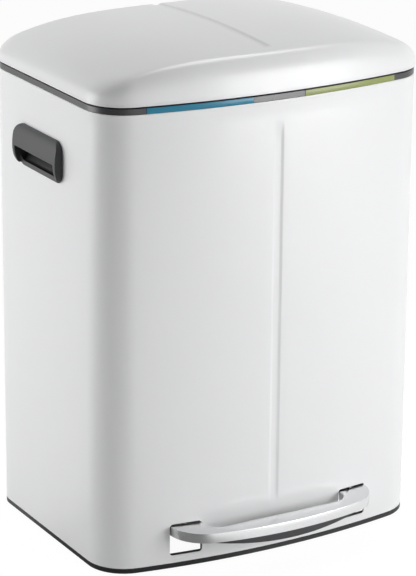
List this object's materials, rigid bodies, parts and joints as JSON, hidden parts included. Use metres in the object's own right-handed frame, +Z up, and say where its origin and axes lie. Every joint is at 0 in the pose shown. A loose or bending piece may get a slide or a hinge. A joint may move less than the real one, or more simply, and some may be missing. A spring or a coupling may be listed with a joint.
{
  "type": "double recycling pedal bin",
  "caption": "Free-standing recycling bin: one pedal lifts the lid over a pair of lift-out buckets in a steel body with side handles.",
  "frame": {"origin": "on the floor, below the middle of the whole object", "axes": "+Z up, the pedal towards -Y, +X to the right as seen from the front"},
  "size_m": [0.4566, 0.3752, 0.6196],
  "materials": {
    "white_paint": "satin white powder coat on sheet steel",
    "black_plastic": "fine-textured moulded plastic",
    "dark_plastic": "moulded plastic",
    "blue_plastic": "smooth coloured plastic",
    "green_plastic": "smooth coloured plastic",
    "stainless": "brushed stainless steel",
    "zinc_steel": "zinc-plated steel",
    "black_rubber": "matt rubber",
    "nylon": "natural nylon",
    "bucket_plastic": "moulded polypropylene"
  },
  "bodies": {
    "housing": {"body_shell": "white_paint", "base_ring": "black_plastic", "foot_front_left": "black_rubber", "foot_front_right": "black_rubber", "foot_rear_left": "black_rubber", "foot_rear_right": "black_rubber", "bucket_platform": "black_plastic", "top_ring": "black_plastic", "marker_left": "blue_plastic", "marker_right": "green_plastic", "side_handle_left": "black_plastic", "side_handle_right": "black_plastic", "hinge_block": "black_plastic", "hinge_pin": "zinc_steel", "hinge_screw_left": "zinc_steel", "hinge_screw_right": "zinc_steel", "rod_guide_lower": "black_plastic", "rod_guide_upper": "black_plastic", "damper_cylinder": "dark_plastic", "damper_bracket": "zinc_steel", "pedal_axle": "zinc_steel", "axle_bracket_left": "zinc_steel", "axle_bracket_right": "zinc_steel", "axle_bracket_rivet_left": "zinc_steel", "axle_bracket_rivet_right": "zinc_steel", "axle_clip_left": "zinc_steel", "axle_clip_right": "zinc_steel"},
    "lid": {"lid_shell": "white_paint", "lid_liner": "black_plastic", "hinge_leaf": "black_plastic", "crank_pin": "zinc_steel", "lid_buffer_left": "black_rubber", "lid_buffer_right": "black_rubber", "leaf_screw_left": "zinc_steel", "leaf_screw_right": "zinc_steel"},
    "pedal": {"pedal_cover": "stainless", "pedal_core": "dark_plastic", "lever_arm_left": "zinc_steel", "lever_arm_right": "zinc_steel", "lever_cross": "zinc_steel", "pedal_bush_left": "nylon", "pedal_bush_right": "nylon", "pedal_rivet_left_front": "zinc_steel", "pedal_rivet_left_rear": "zinc_steel", "pedal_rivet_right_front": "zinc_steel", "pedal_rivet_right_rear": "zinc_steel"},
    "push_rod": {"push_rod": "zinc_steel", "rod_yoke": "nylon", "rod_foot": "nylon"},
    "damper_rod": {"damper_rod": "zinc_steel"},
    "bucket_left": {"bucket_left": "bucket_plastic"},
    "bucket_right": {"bucket_right": "bucket_plastic"},
    "bail_left": {"bail_left": "zinc_steel", "bail_grip_left": "dark_plastic"},
    "bail_right": {"bail_right": "zinc_steel", "bail_grip_right": "dark_plastic"}
  },
  "joints": [
    {"name": "lid_hinge", "type": "hinge", "parent": "housing", "child": "lid", "pos_m": [0, 0.1796, 0.573], "axis": [-1, 0, 0], "range_deg": [0, 80]},
    {"name": "pedal_hinge", "type": "hinge", "parent": "housing", "child": "pedal", "pos_m": [0, -0.0401, 0.034], "axis": [1, 0, 0], "range_deg": [0, 10.6]},
    {"name": "push_rod_slide", "type": "slide", "parent": "housing", "child": "push_rod", "axis": [0, 0, 1], "range_m": [0, 0.0361]},
    {"name": "damper_slide", "type": "slide", "parent": "housing", "child": "damper_rod", "axis": [0, 0, 1], "range_m": [0, 0.0361]},
    {"name": "bucket_left_lift", "type": "slide", "parent": "housing", "child": "bucket_left", "axis": [0, 0, 1], "range_m": [0, 0.01]},
    {"name": "bucket_right_lift", "type": "slide", "parent": "housing", "child": "bucket_right", "axis": [0, 0, 1], "range_m": [0, 0.01]},
    {"name": "bail_left_swing", "type": "hinge", "parent": "bucket_left", "child": "bail_left", "pos_m": [-0.098, 0.0134, 0.5502], "axis": [-1, 0, 0], "range_deg": [0, 12]},
    {"name": "bail_right_swing", "type": "hinge", "parent": "bucket_right", "child": "bail_right", "pos_m": [0.098, 0.0134, 0.5502], "axis": [-1, 0, 0], "range_deg": [0, 12]}
  ],
  "couplings": [
    {"joint": "pedal_hinge", "follows": "lid_hinge", "ratio": 0.13125},
    {"joint": "push_rod_slide", "follows": "lid_hinge", "m_per_rad": 0.025762},
    {"joint": "damper_slide", "follows": "lid_hinge", "m_per_rad": 0.025762}
  ]
}
